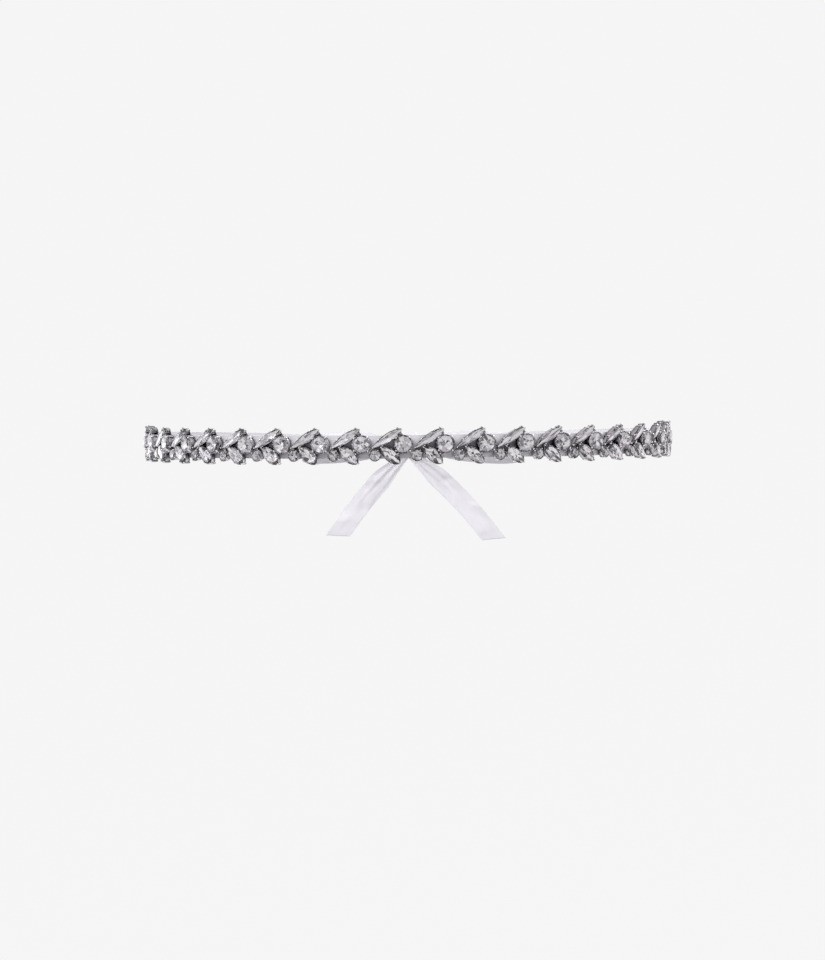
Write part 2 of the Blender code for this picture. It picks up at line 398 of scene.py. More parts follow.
def ribbonShares():
    # shares of the half width, closer together over the round selvage, and half the thickness there
    half, radius = ribbon["width"] / 2, ribbon["beadRadius"]
    cloth = np.linspace(ribbon["clothFrom"], half, ribbon["clothSteps"])
    inward = np.concatenate([radius * np.array(ribbon["beadSteps"]), cloth])
    arc = np.sqrt(np.clip(radius**2 - (inward - radius) ** 2, 0.0, None))
    thick = np.where(inward > radius, np.maximum(arc, ribbon["thickness"] / 2), arc)
    shares = 1 - inward / half
    return np.concatenate([-shares, shares[-2::-1]]), np.concatenate([thick, thick[-2::-1]])


acrossShares, halfThickness = ribbonShares()
sectionShares = np.concatenate([acrossShares, acrossShares[-2:0:-1]])  # front face, then back


def ribbonShell(name, centres, across, widths, lift, distances, shift=0.0):
    # a closed section carried along the centres: a point is the centre, plus across times its share
    # of the half width, plus the normal times the lift and half thickness
    onward = unit(np.gradient(centres, axis=0))
    normals = unit(np.cross(onward, across))
    sideways = across[:, None] * (acrossShares[:, None] * widths[:, None, None] / 2)
    middle = centres[:, None] + sideways + normals[:, None] * lift[:, :, None]
    off = normals[:, None] * halfThickness[:, None]
    points = np.concatenate([middle + off, (middle - off)[:, -2:0:-1]], 1) + shift
    rows, columns = points.shape[:2]
    uv = mapped(distances[:, None], (sectionShares + 1) / 2, (rows, columns))
    # each end is closed by quads between the two faces and a triangle at either edge
    front = np.arange(len(acrossShares))
    back = (columns - front) % columns
    cap = np.stack([front[:-1], back[:-1], back[1:], front[1:]], -1)
    ends = [cap[1:-1], cap[:1, [0, 2, 3]], cap[-1:, [0, 1, 3]]]
    last = (rows - 1) * columns
    faces = [gridFaces(rows, columns)[:, ::-1]]
    faces += [end[:, ::-1] for end in ends] + [end + last for end in ends]
    return newPiece(name, points, faces, [satinLook], uv=uv)


def softNoise(shape, seed, cells):
    # random values on a coarse grid, eased between its points, from -1 to 1
    coarse = np.random.default_rng(seed).uniform(-1, 1, (cells[0] + 2, cells[1] + 2))
    row = np.linspace(0, cells[0], shape[0])
    column = np.linspace(0, cells[1], shape[1])
    i, j = np.floor(row).astype(int), np.floor(column).astype(int)
    a, b = eased(row - i)[:, None], eased(column - j)
    near = coarse[i][:, j] * (1 - b) + coarse[i][:, j + 1] * b
    far = coarse[i + 1][:, j] * (1 - b) + coarse[i + 1][:, j + 1] * b
    return near * (1 - a) + far * a


def pleatLift(distances, phase, reach):
    # waves across the width, deepest at the knot and gone at the reach
    along = distances[:, None]
    unevenness, turns = ribbon["pleatPaces"]
    fade = 1 - eased(along / (reach * (1 + unevenness * np.sin(turns * acrossShares + phase))))
    wander, wanderLength = ribbon["pleatWander"]
    bend = wander * np.sin(along / wanderLength + phase)
    return ribbon["pleatDepth"] * np.cos(pi * ribbon["pleats"] * acrossShares + phase + bend) * fade


def creaseLift(distances, creases):
    # a crease is a bell along the ribbon times a bell across its line, which leans over the width
    lift = np.zeros((len(distances), len(acrossShares)))
    for place, length, lean, width, depth, middle in creases:
        along = 1000 * distances[:, None] - place - lean * acrossShares
        reach = np.exp(-(((acrossShares - middle) / length) ** 2))
        lift += depth / 1000 * np.exp(-((along / width) ** 2)) * reach
    return lift


def flutterLift(shape, side, count):
    # small uneven waves, highest at the edges
    height, times = shape["flutter"]
    soft = softNoise((count, len(acrossShares)), shape["seed"] + side, times)
    return height * soft * np.abs(acrossShares)


def gathered(toKnot, reach, narrow):
    # how far it is drawn together, from 0 at the reach to 1 at the knot, and its width
    gather = 1 - eased(toKnot / reach)
    return gather, ribbon["width"] - (ribbon["width"] - narrow) * gather


waistRibbon = {
    "sections": 932,
    "depthInSolid": 0.55,  # of its middle below the solid's outer face, in thicknesses
    "riseAndFall": (0.00025, 23),  # height, and how many times
    "edgeWave": (0.00022, (46, 2)),  # height, and how many along and across
    "edgeWaveOnTrim": 0.25,  # share left where the motifs hold it
    "freeLength": 0.02,  # past the trim, over which it comes free
    "puckerDepth": 0.00010,  # between the motifs' stitches
    "gather": (0.021, 0.0072, 0.0004),  # length beside the knot, width at it, how far it is pressed in
    "pleats": (0.8, 0.3, 0.7),  # against the bow's, how much less at the knot, phase
    "turn": (0.0030, 0.0019, 15),  # of each end into the knot: length, how far out, sections
    "seeds": (5, 8),
}


def makeWaistRibbon():
    gap = waist["seamGap"] / 2
    turnLength, turnOut, sections = waistRibbon["turn"]
    distances = np.linspace(-halfRound + gap, halfRound - gap, waistRibbon["sections"])
    endSteps = gap + turnLength * np.linspace(0.0, 1.0, sections)[1:-1]
    distances = np.sort(np.concatenate([distances, endSteps - halfRound, halfRound - endSteps]))
    points, outward = waistAt(distances)
    heightSeed, edgeSeed = waistRibbon["seeds"]
    rise, times = waistRibbon["riseAndFall"]
    points[:, 2] += rise * softNoise((len(distances), 2), heightSeed, (times, 1))[:, 0]
    centres = points - outward * ribbon["thickness"] * waistRibbon["depthInSolid"]
    across = np.tile(upward, (len(distances), 1))
    toKnot = halfRound - np.abs(distances)
    bend = np.clip(1 - (toKnot - gap) / turnLength, 0.0, 1.0) ** 2
    centres += outward * (turnOut * bend)[:, None]
    reach, narrow, pressed = waistRibbon["gather"]
    gather, widths = gathered(toKnot, reach, narrow)
    gather = gather[:, None]
    free = eased((np.abs(distances) - trimHalf) / waistRibbon["freeLength"])[:, None]
    held = waistRibbon["edgeWaveOnTrim"]
    wave, times = waistRibbon["edgeWave"]
    lift = softNoise((len(distances), len(acrossShares)), edgeSeed, times) * wave
    lift = lift * (held + (1 - held) * free) * np.abs(acrossShares) ** 1.5
    pucker = np.cos(2 * pi * (distances - motifPlaces[0]) / trim["pitch"])[:, None]
    lift -= waistRibbon["puckerDepth"] * (1 - free) * (1 + pucker) * acrossShares**2
    share, less, phase = waistRibbon["pleats"]
    lift += share * pleatLift(toKnot, phase, reach) * (1 - less * gather)
    lift -= pressed * gather
    piece = ribbonShell("waist_ribbon", centres, across, widths, lift, distances)
    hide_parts("ribbon_front", "ribbon_left", "ribbon_right")
    return piece


knot = {
    "width": 0.0092,
    "height": 0.0124,
    "depth": 0.0072,
    "squareness": 2.6,
    "around": 96,
    "round": 0.034,  # the ribbon's length once round it
    "middle": (0.70, 29, 0.05, 2.2),  # reach, sections, thinning and its power
    "ridges": (0.00020, 1.35, 0.3, 2.0),  # depth, number over the half width, unevenness, its phase
    "wander": ((1, 0.16, 0.6), (2, 0.07, 1.9)),  # of the ridges: times round, how far, phase
    "fold": (0.00042, 0.42, 0.16, 0.4),  # depth, how far it slants, its width, phase
    "shown": (0.66, 0.25),  # share of the full section where ridges begin, and over how much
    "weave": (0.0055, 0.86),  # metres to a radian, and share of the ribbon's width
}
knotRoll = np.array(
    # share of the half width, share of the full section: from the opening over the side
    [(-0.955, 0.60), (-1.0, 0.70), (-0.985, 0.80), (-0.92, 0.88), (-0.82, 0.935)]
)
knotInside = np.array([(0.86, 0.56), (0.60, 0.66), (0.0, 0.74), (-0.60, 0.66), (-0.86, 0.56)])
backPoint, backWay = waistAt(halfRound)
knotMiddle = backPoint + backWay * (waist["seamGap"] + knot["depth"] / 2)

loops = {
    # side along X, length, opening, bulge outward, droop, lean when open, phase
    "loop_left": (1, 0.050, 0.0122, 0.0085, 0.0034, 31.0, 0.4),
    "loop_right": (-1, 0.047, 0.0118, 0.0075, 0.0026, 27.0, 2.1),
}
loopShape = {
    "sections": 260,
    "leanReachedAt": 0.45,  # share of its length
    "apart": 1.5,  # of each layer from the middle at the knot, in walls
    "pinch": 0.0068,
    "pleatLength": 0.024,
    "intoKnot": (0.0012, 0.06),  # how far, and over what share of its length
    "flutter": (0.00022, (14, 2)),
    "seed": 31,
}
creases = {
    # place along it, reach over its width, lean, width, depth, middle's share; lengths in millimetres
    "loop_left": (
        (19.0, 0.55, 2.0, 1.9, -0.5, -0.5),
        (27.0, 0.4, -3.0, 2.4, 0.42, 0.6),
        (47.0, 0.6, 1.6, 2.1, -0.55, 0.3),
        (56.0, 0.45, -2.2, 1.7, 0.38, -0.6),
        (79.0, 0.5, 2.6, 2.6, -0.42, 0.5),
        (88.0, 0.38, -1.8, 1.6, 0.34, -0.4),
    ),
    "loop_right": (
        (16.0, 0.5, -2.2, 2.1, 0.46, 0.5),
        (31.0, 0.45, 2.8, 1.8, -0.44, -0.4),
        (44.0, 0.6, -1.4, 2.3, -0.5, 0.2),
        (54.0, 0.36, 2.4, 1.6, 0.36, 0.7),
        (72.0, 0.55, -3.0, 2.5, -0.46, -0.3),
    ),
    "tail_left": (
        (17.0, 0.5, 3.0, 2.0, -0.6, 0.4),
        (26.5, 0.4, -3.6, 2.5, 0.58, -0.5),
        (34.5, 0.34, 3.4, 1.8, 0.4, 0.7),
        (40.0, 0.55, 4.2, 3.4, -0.62, 0.3),
        (47.5, 0.4, -2.6, 2.6, 0.42, -0.4),
    ),
    "tail_right": (
        (15.0, 0.45, -3.0, 2.2, 0.58, -0.4),
        (23.5, 0.36, 2.4, 1.7, -0.4, -0.7),
        (30.0, 0.5, 3.6, 3.0, -0.6, 0.4),
        (39.0, 0.55, -3.8, 3.2, 0.56, -0.2),
    ),
}


def makeLoop(name):
    side, length, opening, bulge, droop, lean, phase = loops[name]
    turn = np.linspace(0.0, 2 * pi, loopShape["sections"])
    share = (1 - np.cos(turn)) / 2
    teardrop = np.sin(turn) * np.sin(turn / 2)
    apart = loopShape["apart"] * waist["wall"] * np.cos(turn / 2)
    leaning = np.radians(lean) * eased(share / loopShape["leanReachedAt"])
    opened = opening / 2 * teardrop / teardrop.max() + apart
    outX = knot["width"] / 2 + waist["seamGap"] + length * share
    deep, over = loopShape["intoKnot"]
    outX -= deep * (1 - eased(share / over))
    outY = knotMiddle[1] + opened * np.cos(leaning) + bulge * share
    outZ = knotMiddle[2] - opened * np.sin(leaning) - droop * share**2
    centres = np.stack([side * outX, outY, outZ], 1)
    across = np.stack([np.zeros(len(turn)), np.sin(leaning), np.cos(leaning)], 1)
    distances = lengthsAlong(centres)
    toKnot = length * share
    widths = gathered(toKnot, ribbon["pinchLength"], loopShape["pinch"])[1]
    lift = pleatLift(toKnot, phase, loopShape["pleatLength"]) + creaseLift(distances, creases[name])
    lift += flutterLift(loopShape, side, len(turn))
    piece = ribbonShell(name + "_satin", centres, across, widths, lift, distances)
    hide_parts(name)
    return piece


tails = {
    # side along X, length, lean at the knot, steepest wave, wave's length, cut's slant, phase
    "tail_left": (1, 0.055, 52.0, 9.0, 0.050, 0.006, 0.9),
    "tail_right": (-1, 0.049, 47.0, 10.0, 0.044, -0.006, 2.6),
}
tailShape = {
    "step": 0.0005,
    "pinch": 0.0052,
    "pleats": (1.15, 0.030),  # depth against the loops', and length
    "leanFadesOver": 0.150,
    "intoKnot": (0.0010, 0.006),  # how far, and over what length
    "innerStart": (0.0036, 0.009),  # the same for the edge nearer the middle
    "slantFadesOver": 0.014,
    "cupping": (0.0010, 0.33),  # at the edges, and the share taken off it in the middle
    "cuppingWave": (0.061, 0.03),  # metres to a radian, and the length it starts over
    "twistDegrees": 13.0,
    "twistWave": (0.047, 0.04),
    "flutter": (0.0002, (18, 2)),
    "seed": 51,
}


def makeTail(name):
    side, length, lean, wave, waveLength, slant, phase = tails[name]
    count = 1 + round(length / tailShape["step"])
    along = np.linspace(0.0, length, count)
    step = along[1]
    leanOut = np.radians(lean) * np.exp(-along / tailShape["leanFadesOver"])
    fade = np.clip(along / ribbon["pinchLength"], 0.0, 1.0)
    sway = np.radians(wave) * np.sin(2 * pi * along / waveLength) * fade
    ways = np.stack([side * np.sin(leanOut), np.sin(sway), -np.cos(leanOut) * np.cos(sway)], 1)
    beside = side * (tailShape["pinch"] / 2 + 2 * waist["seamGap"])
    under = (beside, 0.0, -knot["height"] / 2 - waist["seamGap"])
    steps = np.cumsum((ways[1:] + ways[:-1]) / 2 * step, axis=0)
    centres = knotMiddle + under + np.concatenate([np.zeros((1, 3)), steps])
    deep, over = tailShape["intoKnot"]
    centres[:, 2] += deep * (1 - eased(along / over))

    def slowWave(settings, start):
        return np.sin(along / settings[0] + start) * eased(along / settings[1])

    twist = np.radians(tailShape["twistDegrees"]) * slowWave(tailShape["twistWave"], phase)
    flat = np.stack([np.cos(leanOut), np.zeros(count), side * np.sin(leanOut)], 1)
    across = unit(flat * np.cos(twist)[:, None] + (0.0, 1.0, 0.0) * np.sin(twist)[:, None])
    widths = gathered(along, ribbon["pinchLength"], tailShape["pinch"])[1]
    depth, reach = tailShape["pleats"]
    lift = depth * pleatLift(along, phase, reach) + creaseLift(along, creases[name])
    cupping, lifted = tailShape["cupping"]
    cup = cupping * slowWave(tailShape["cuppingWave"], 2 * phase)
    lift += cup[:, None] * (acrossShares**2 - lifted)
    lift += flutterLift(tailShape, side, count)
    # the scissors' slant: near the cut, points move along by their share of the width, and at the
    # knot the edge nearer the middle moves back
    onward = unit(np.gradient(centres, axis=0))
    reach = slant / 2 * np.clip(1 - (length - along) / tailShape["slantFadesOver"], 0.0, 1.0)
    shift = (reach[:, None] * sectionShares)[:, :, None] * onward[-1]
    deep, over = tailShape["innerStart"]
    start = deep * (1 - eased(along / over))
    shift -= (start[:, None] * (1 - side * sectionShares) / 2)[:, :, None] * onward[0]
    piece = ribbonShell(name + "_satin", centres, across, widths, lift, along, shift)
    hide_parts(name)
    return piece


def makeKnot():
    # a superellipse round X, scaled by a profile that rolls over at each side and runs back through
    # the inside; ridges and one slanting fold go round it
    halfX, height, depth = (knot[key] / 2 for key in ("width", "height", "depth"))
    reach, count, thinning, power = knot["middle"]
    middle = np.linspace(-reach, reach, count)
    mirrored = knotRoll[::-1] * (-1, 1)
    middleRows = np.stack([middle, 1 - thinning * np.abs(middle) ** power], 1)
    places, shares = np.concatenate([knotRoll, middleRows, mirrored, knotInside]).T
    turn = roundTurns(knot["around"])
    power = 2 / knot["squareness"]
    outY = np.sign(np.cos(turn)) * np.abs(np.cos(turn)) ** power
    outZ = np.sign(np.sin(turn)) * np.abs(np.sin(turn)) ** power
    outer = np.arange(len(places)) < len(places) - len(knotInside)
    start, over = knot["shown"]
    shown = (eased((shares - start) / over) * outer)[:, None]
    wander = sum(far * np.sin(times * turn + phase) for times, far, phase in knot["wander"])
    ridgeDepth, ridges, uneven, phase = knot["ridges"]
    ridges = np.cos(2 * pi * (places[:, None] * ridges + wander))
    ridges = ridges * (1 - uneven + uneven * np.sin(turn + phase))
    foldDepth, slant, foldWidth, phase = knot["fold"]
    fold = eased((places[:, None] - slant * np.sin(turn - phase)) / foldWidth) - 0.5
    rise = shown * (ridgeDepth * ridges + foldDepth * fold * np.cos(turn / 2) ** 2)
    outY, outZ = (shares[:, None] * depth + rise) * outY, (shares[:, None] * height + rise) * outZ
    points = np.stack([np.broadcast_to(places[:, None] * halfX, rise.shape), outY, outZ], -1)
    rows, columns = rise.shape
    perRadian, spread = knot["weave"]
    uv = mapped(perRadian * turn, (places[:, None] + 1) / 2 * spread + (1 - spread) / 2, rise.shape)
    faces = gridFaces(rows + 1, columns) % (rows * columns)
    piece = newPiece("knot_satin", points + knotMiddle, [faces], [satinLook], uv=uv)
    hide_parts("knot")
    return piece


ribbonPieces = [makeWaistRibbon(), makeKnot()]
ribbonPieces += [makeLoop(name) for name in loops] + [makeTail(name) for name in tails]
for piece in ribbonPieces:
    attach(piece, "root")
print("ribbon made")

# Trim: one motif is a claw setting with four stones; sizes in metres, on its plate

stones = {
    # along, up, turn in degrees, height, length, width, how blunt its points are, how much fuller its
    # head is
    "upperLeaf": (-0.0067, 0.00255, 32.3, 0.0034, 0.0151, 0.0041, 0.50, 0.15),
    "lowerLeaf": (-0.0054, -0.00476, -41.0, 0.0037, 0.0107, 0.0055, 0.72, 0.06),
    "largeRound": (0.0, 0.0, 0.0, 0.0044, 0.0082, 0.0082, 0.0, 0.0),
    "smallRound": (-0.0121, -0.00480, 0.0, 0.0034, 0.0052, 0.0052, 0.0, 0.0),
}
stonePaintedLight = {
    # facets round it, shares of the outline where the lower ones break, how light its painted foil is,
    # and the shares of its foil facets painted nearly black, and black or grey, as painted reflection
    # and shade
    "upperLeaf": (8, (0.52,), 0.86, 0.03, 0.36),
    "lowerLeaf": (8, (0.66, 0.34), 1.0, 0.20, 0.42),
    "largeRound": (10, (0.68, 0.36), 0.88, 0.13, 0.38),
    "smallRound": (8, (0.64, 0.32), 0.66, 0.12, 0.34),
}
stoneCut = {
    "stoneShare": 0.985,  # of the solid's outline
    "girdleThickness": 0.00012,
    "crownSlope": 0.62,  # rise over run
    "backSlope": 0.22,
    "tableShare": 0.53,  # of the outline
    "breakShare": 0.78,
    "unevenness": (0.0001, 0.0001, 0.00005),  # of the corners below the girdle
    "tiltDegrees": 2.2,  # how far a stone may sit askew in its cup
    "tones": ((0.0, 0.12), (0.40, 0.3), (0.88, 0.12)),  # painted reflection tones of the foil facets, lowest and spread: black, grey, light
    "seed": 700,
}


def outlineAt(turn, length, width, blunt, fuller):
    # a circle, or a blend of an ellipse and of two arcs that meet at points, fuller towards its head
    x, y = length / 2 * np.cos(turn), width / 2 * np.sin(turn)
    if length > width:
        radius = (length**2 + width**2) / (4 * width)
        arcs = np.sqrt(radius**2 - x**2) - radius + width / 2
        y = blunt * y + (1 - blunt) * np.sign(np.round(y, 9)) * arcs
        y = y * (1 + fuller * np.cos(turn))
    return np.stack([x, y], -1)


def girdleHeight(width, height):
    # the girdle's lower edge, below a crown of the set slope
    crown = stoneCut["crownSlope"] * (1 - stoneCut["tableShare"]) * width / 2
    return height - crown - stoneCut["girdleThickness"]


def cutStone(height, shape, count, breaks, random):
    # a brilliant cut: table, stars, kites and small facets above the girdle, kites, triangles and small
    # facets below it
    width = shape[1]
    girdle, thick = girdleHeight(width, height), stoneCut["girdleThickness"]
    every = pi * np.arange(2 * count) / count
    corner, middle = every[::2], every[1::2]
    drop = np.cos(pi / count)
    table, upperBreak = stoneCut["tableShare"], stoneCut["breakShare"]
    breakHeight = height - (upperBreak * drop - table) * stoneCut["crownSlope"] * width / 2
    depth = stoneCut["backSlope"] * width / 2
    levels = [
        # turns of its corners, share of the outline, height
        (corner, table, height),
        (middle, upperBreak, breakHeight),
        (every, 1.0, girdle + thick),
        (every, 1.0, girdle),
    ]
    for turns, share in zip((middle, corner), breaks):
        levels.append((turns, share, girdle - (1 - share * drop) * depth))
    levels.append((corner[:1], 0.0, girdle - depth))
    rings = [atHeight(outlineAt(turns, *shape) * share, level) for turns, share, level in levels]
    starts = np.concatenate([[0], np.cumsum([len(points) for points in rings])])
    points = np.concatenate(rings)
    points[starts[4] :] += random.uniform(-1, 1, (len(points) - starts[4], 3)) * stoneCut["unevenness"]
    k = np.arange(count)
    n, p = (k + 1) % count, (k - 1) % count
    upper, lower, tip = starts[1], starts[4], len(points) - 1
    g, h, gn = starts[2] + 2 * k, starts[2] + 2 * k + 1, starts[2] + 2 * n
    low, lowMid, lowNext = (place + 2 * count for place in (g, h, gn))
    crownFaces = [
        k[None],
        np.stack([k, upper + k, n], -1),
        np.stack([k, upper + p, g, upper + k], -1),
        np.stack([upper + k, g, h], -1),
        np.stack([upper + k, h, gn], -1),
    ]
    inner = starts[5] + k if len(breaks) > 1 else np.full(count, tip)
    foilFaces = [
        np.stack([g, low, lowMid, h], -1),
        np.stack([h, lowMid, lowNext, gn], -1),
        np.stack([inner, lower + k, low, lower + p], -1),
        np.stack([lower + k, lowMid, low], -1),
        np.stack([lower + k, lowNext, lowMid], -1),
    ]
    if len(breaks) > 1:
        foilFaces.append(np.stack([inner, starts[5] + n, lower + k], -1))
        foilFaces.append(np.stack([np.full(count, tip), starts[5] + n, inner], -1))
    return points, crownFaces, foilFaces


def turned(points, degrees):
    c, s = np.cos(np.radians(degrees)), np.sin(np.radians(degrees))
    return points @ np.array([[c, s, 0.0], [-s, c, 0.0], [0.0, 0.0, 1.0]])


def tilted(points, height, tiltX, tiltY):
    # small turns about the two flat axes, round the stone's middle
    centre = height * upward
    cx, sx, cy, sy = np.cos(tiltX), np.sin(tiltX), np.cos(tiltY), np.sin(tiltY)
    aboutX = np.array([[1.0, 0.0, 0.0], [0.0, cx, sx], [0.0, -sx, cx]])
    aboutY = np.array([[cy, 0.0, -sy], [0.0, 1.0, 0.0], [sy, 0.0, cy]])
    return (points - centre) @ aboutX @ aboutY + centre


def onWaist(points, distance):
    # local x runs along the ribbon, y up and z outward from the ribbon's face
    place, outward = waistAt(distance)
    along = np.cross(upward, outward)
    seat = place + outward * waist["seamGap"] + upward * trim["rise"]
    local = points - (trim["plateMiddle"], 0.0, 0.0)
    return seat + local @ np.stack([along, upward, outward])


def makeStones(name, number, distance):
    random = np.random.default_rng(stoneCut["seed"] + number)
    allPoints, allFaces, looks, tones, start = [], [], [], [], 0
    for stone, (along, up, turn, height, *shape) in stones.items():
        shape = np.array(shape) * (stoneCut["stoneShare"], stoneCut["stoneShare"], 1.0, 1.0)
        count, breaks, light, darkShare, greyShare = stonePaintedLight[stone]
        points, crownFaces, foilFaces = cutStone(height, shape, count, breaks, random)
        lean = np.radians(stoneCut["tiltDegrees"])
        points = tilted(points, 0.5 * height, *random.uniform(-lean, lean, 2))
        points = turned(points, turn) + (along, up, 0.0)
        for group, look in ((crownFaces, 0), (foilFaces, 1)):
            for faces in group:
                allFaces.append(faces + start)
                looks.append(np.full(len(faces), look))
                # each facet's foil gets a painted reflection tone: nearly black, grey or light
                draw, shade = random.uniform(0, 1, (2, len(faces)))
                black, grey, clear = (low + spread * shade for low, spread in stoneCut["tones"])
                tone = np.where(draw < darkShare, black, np.where(draw < greyShare, grey, clear))
                tones.append(tone * light)
        allPoints.append(points)
        start += len(points)
    points, looks = onWaist(np.concatenate(allPoints), distance), np.concatenate(looks)
    piece = newPiece(name + "_stones", points, allFaces, [glassLook, foilLook], looks, smooth=False)
    setValues(piece, "FACE", "paintedFoilLight", np.concatenate(tones))
    return piece


setting = {
    "cupFloor": 0.0003,  # where the cup leaves its plate
    "cupSides": 40,
    "scallop": 0.00034,  # how far the rim dips between the claws
    "clawRadius": 0.00042,
    "scallops": (6, 8),  # round a leaf's rim, and round a circle's
    "clawSides": 6,
    "plateThickness": 0.0007,
    "plateRound": 0.00022,
}
cupRows = (
    # share of the outline, share of the way up to the rim, dips with the rim, painted shade
    (0.880, 0.00, 0.0, 0.85),
    (0.935, 0.45, 0.0, 0.50),
    (0.968, 0.93, 1.0, 0.30),
    (0.962, 1.00, 1.0, 0.20),
    (0.940, 0.97, 1.0, 0.60),
    (0.860, 0.40, 0.0, 1.0),
    (0.800, 0.12, 0.0, 1.0),
)
plateOutline = np.array(
    [(-0.0127, -0.0012), (-0.0128, -0.0048), (-0.0110, -0.0056), (-0.0088, -0.0034)]
    + [(-0.0042, -0.0072), (-0.0016, -0.0046), (0.0012, -0.0028), (0.0024, 0.0)]
    + [(0.0010, 0.0026), (-0.0014, 0.0056), (-0.0030, 0.0054)]
)


def cupMesh(girdle, shape, scallops):
    # the stone's outline times each row's share: up the outside, over a rim that dips between the
    # claws, down the inside and back through the floor
    turn = roundTurns(setting["cupSides"])
    base = setting["cupFloor"]
    dip = setting["scallop"] * (1 + np.cos(scallops * turn)) / 2
    rings, paintedShade = [], []
    for share, way, dips, dark in cupRows:
        level = base + way * (girdle - base) - dips * dip
        rings.append(atHeight(share * outlineAt(turn, *shape), level))
        paintedShade.append(np.full(len(turn), dark))
    rows, columns = len(rings), len(turn)
    faces = gridFaces(rows + 1, columns) % (rows * columns)
    return np.concatenate(rings), faces, np.concatenate(paintedShade)


clawRows = (
    # out from the cup's edge, share of the girdle's height, more height, share of radius, painted shade
    (-0.00035, 0.0, 0.00040, 0.85, 0.8),
    (-0.00005, 0.55, 0.0, 0.90, 0.55),
    (0.00010, 1.0, 0.0, 0.95, 0.3),
    (0.00002, 1.0, 0.00040, 1.05, 0.1),
    (-0.00024, 1.0, 0.00066, 1.0, 0.0),
    (-0.00046, 1.0, 0.00062, 0.5, 0.05),
)


def clawMesh(reach, girdle, lean, size, stem=1.0):
    # a rod up outside the cup, over the girdle and down onto the crown; reach is the cup's edge from
    # the stone's centre, and stem thins the part below the girdle
    out, way, more, thick, dark = np.array(clawRows).T
    rows, columns = len(clawRows), setting["clawSides"]
    radius = setting["clawRadius"] * size * thick
    radius[:3] *= stem
    path = np.stack([reach + out * lean, np.zeros(rows), way * girdle + more], -1)
    onward = unit(np.gradient(path, axis=0))
    sideways = np.tile((0.0, 1.0, 0.0), (rows, 1))
    inward = np.cross(onward, sideways)
    turn = roundTurns(columns)[:, None]
    circle = sideways[:, None] * np.cos(turn) + inward[:, None] * np.sin(turn)
    points = (path[:, None] + radius[:, None, None] * circle).reshape(-1, 3)
    ring = np.arange(columns)[None]
    faces = [gridFaces(rows, columns), (rows - 1) * columns + ring, ring[:, ::-1]]
    return points, faces, np.repeat(dark, columns)


claws = {
    # lean over the stone, size, turns round it in degrees
    "largeRound": [(1.0, 1.0, (48, 138, 222, 318))],
    "smallRound": [(0.8, 0.72, (60, 150, 240, 330))],
    "upperLeaf": [(0.8, 0.9, (180,)), (0.8, 0.75, (62, 298)), (0.8, 0.7, (242, 118))],
    "lowerLeaf": [(0.8, 0.9, (180,)), (0.8, 1.0, (0,)), (0.8, 0.75, (70, 290))],
}
twinTip = {
    # two prongs at the upper leaf's head
    "apart": 0.00116,  # from the leaf's middle line
    "inward": 0.0017,  # from its tip
    "lean": 0.4,
    "size": 1.5,
    "stem": 0.5,
    # painted shade on the prongs, at least this much
    "paintedShade": 0.55,
}


def plateMesh():
    # rings of the outline: back, rounded edge, front; the rounded ones stand in a little
    onward = np.roll(plateOutline, -1, axis=0) - np.roll(plateOutline, 1, axis=0)
    inward = unit(np.stack([-onward[:, 1], onward[:, 0]], -1))
    thick, soft = setting["plateThickness"], setting["plateRound"]
    rows = [(soft, 0.0), (0.0, soft), (0.0, thick - soft), (soft, thick)]
    points = np.concatenate([atHeight(plateOutline + inward * inset, level) for inset, level in rows])
    count = len(plateOutline)
    ring = np.arange(count)[None]
    faces = [gridFaces(len(rows), count), ring[:, ::-1], (len(rows) - 1) * count + ring]
    # the whole plate is painted in full shade
    return points, faces, np.full(len(points), 1.0)


def settingMesh():
    allPoints, allFaces, allShade, start = [], [], [], 0

    def gather(points, faces, paintedShade):
        nonlocal start
        allPoints.append(points)
        allFaces.extend(group + start for group in faces)
        allShade.append(paintedShade)
        start += len(points)

    gather(*plateMesh())
    for stone, (along, up, turn, height, *shape) in stones.items():
        length, width = shape[:2]
        place, girdle = (along, up, 0.0), girdleHeight(width, height)
        points, faces, paintedShade = cupMesh(girdle, shape, setting["scallops"][length == width])
        gather(turned(points, turn) + place, [faces], paintedShade)
        turns = [(degrees, lean, size) for lean, size, group in claws[stone] for degrees in group]
        for degrees, lean, size in turns:
            # at a leaf's side a claw stands square to the leaf, and elsewhere it points to the middle
            edge = outlineAt(np.radians([degrees]), *shape)[0]
            if length != width and degrees % 180:
                reach, bearing, shift = abs(edge[1]), np.copysign(90.0, edge[1]), edge[0]
            else:
                reach, bearing, shift = np.hypot(*edge), np.degrees(np.arctan2(edge[1], edge[0])), 0.0
            points, faces, paintedShade = clawMesh(reach, girdle, lean, size)
            points = turned(points, bearing) + (shift, 0.0, 0.0)
            gather(turned(points, turn) + place, faces, paintedShade)
    along, up, turn, height, length, width = stones["upperLeaf"][:6]
    for side in (-1, 1):
        sizes = [twinTip[key] for key in ("lean", "size", "stem")]
        points, faces, paintedShade = clawMesh(twinTip["apart"], girdleHeight(width, height), *sizes)
        points = turned(points, 90.0 * side) + (length / 2 - twinTip["inward"], 0.0, 0.0)
        paintedShade = np.maximum(paintedShade, twinTip["paintedShade"])
        gather(turned(points, turn) + (along, up, 0.0), faces, paintedShade)
    return np.concatenate(allPoints), allFaces, np.concatenate(allShade)


settingPoints, settingFaces, settingShade = settingMesh()


def makeSetting(name, distance):
    points = onWaist(settingPoints, distance)
    piece = newPiece(name + "_setting", points, settingFaces, [silverLook])
    setValues(piece, "POINT", "paintedShade", settingShade)
    return piece


for number, distance in enumerate(motifPlaces, 1):
    name = f"motif_{number:02d}"
    for piece in (makeSetting(name, distance), makeStones(name, number, distance)):
        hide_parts(name)
        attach(piece, "root")
print("trim made,", len(settingPoints), "points a setting")

